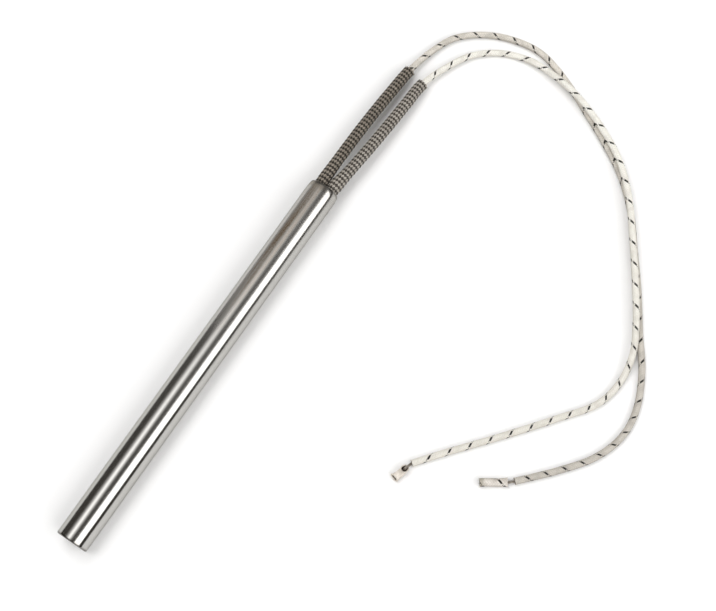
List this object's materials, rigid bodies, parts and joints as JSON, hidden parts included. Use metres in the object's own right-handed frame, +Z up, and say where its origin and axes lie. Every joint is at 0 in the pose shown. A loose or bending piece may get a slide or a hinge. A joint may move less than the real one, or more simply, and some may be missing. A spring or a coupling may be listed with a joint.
{
  "type": "cartridge heater",
  "caption": "Cartridge heater: a round stainless sheath closed at one end, with braided sleeves over glass-braided leads that leave its open end and lie in loops on the surface.",
  "frame": {"origin": "on the surface it lies on, under the middle of the sheath's length", "axes": "+X along the sheath towards its closed tip, +Y towards the side that the leads loop to, +Z up"},
  "size_m": [0.2581, 0.1508, 0.0125],
  "materials": {
    "sheath_steel": "satin",
    "plug_steel": "satin",
    "magnesia": "matte",
    "magnesia_powder": "matte",
    "resistance_wire": "satin",
    "nickel": "satin",
    "cement": "matte",
    "dark_braid": "matte",
    "grey_braid": "matte",
    "grey_cream_braid": "matte",
    "cream_braid": "matte",
    "stranded_wire": "satin"
  },
  "bodies": {
    "root": {"sheath": "sheath_steel", "end_plug": "plug_steel", "tip_spacer": "magnesia", "core_segment_1": "magnesia", "core_segment_2": "magnesia", "core_segment_3": "magnesia", "core_segment_4": "magnesia", "core_segment_5": "magnesia", "heating_coil": "resistance_wire", "powder_fill": "magnesia_powder", "long_pin": "nickel", "short_pin": "nickel", "head_insulator": "magnesia", "end_seal": "cement", "splice_1": "nickel", "splice_2": "nickel", "sleeve_1": "dark_braid", "sleeve_2": "grey_braid", "lead_1_insulation": "grey_cream_braid", "lead_1_conductor": "stranded_wire", "lead_1_end_slug": "grey_cream_braid", "lead_2_insulation": "cream_braid", "lead_2_conductor": "stranded_wire", "lead_2_end_slug": "cream_braid"}
  },
  "joints": []
}
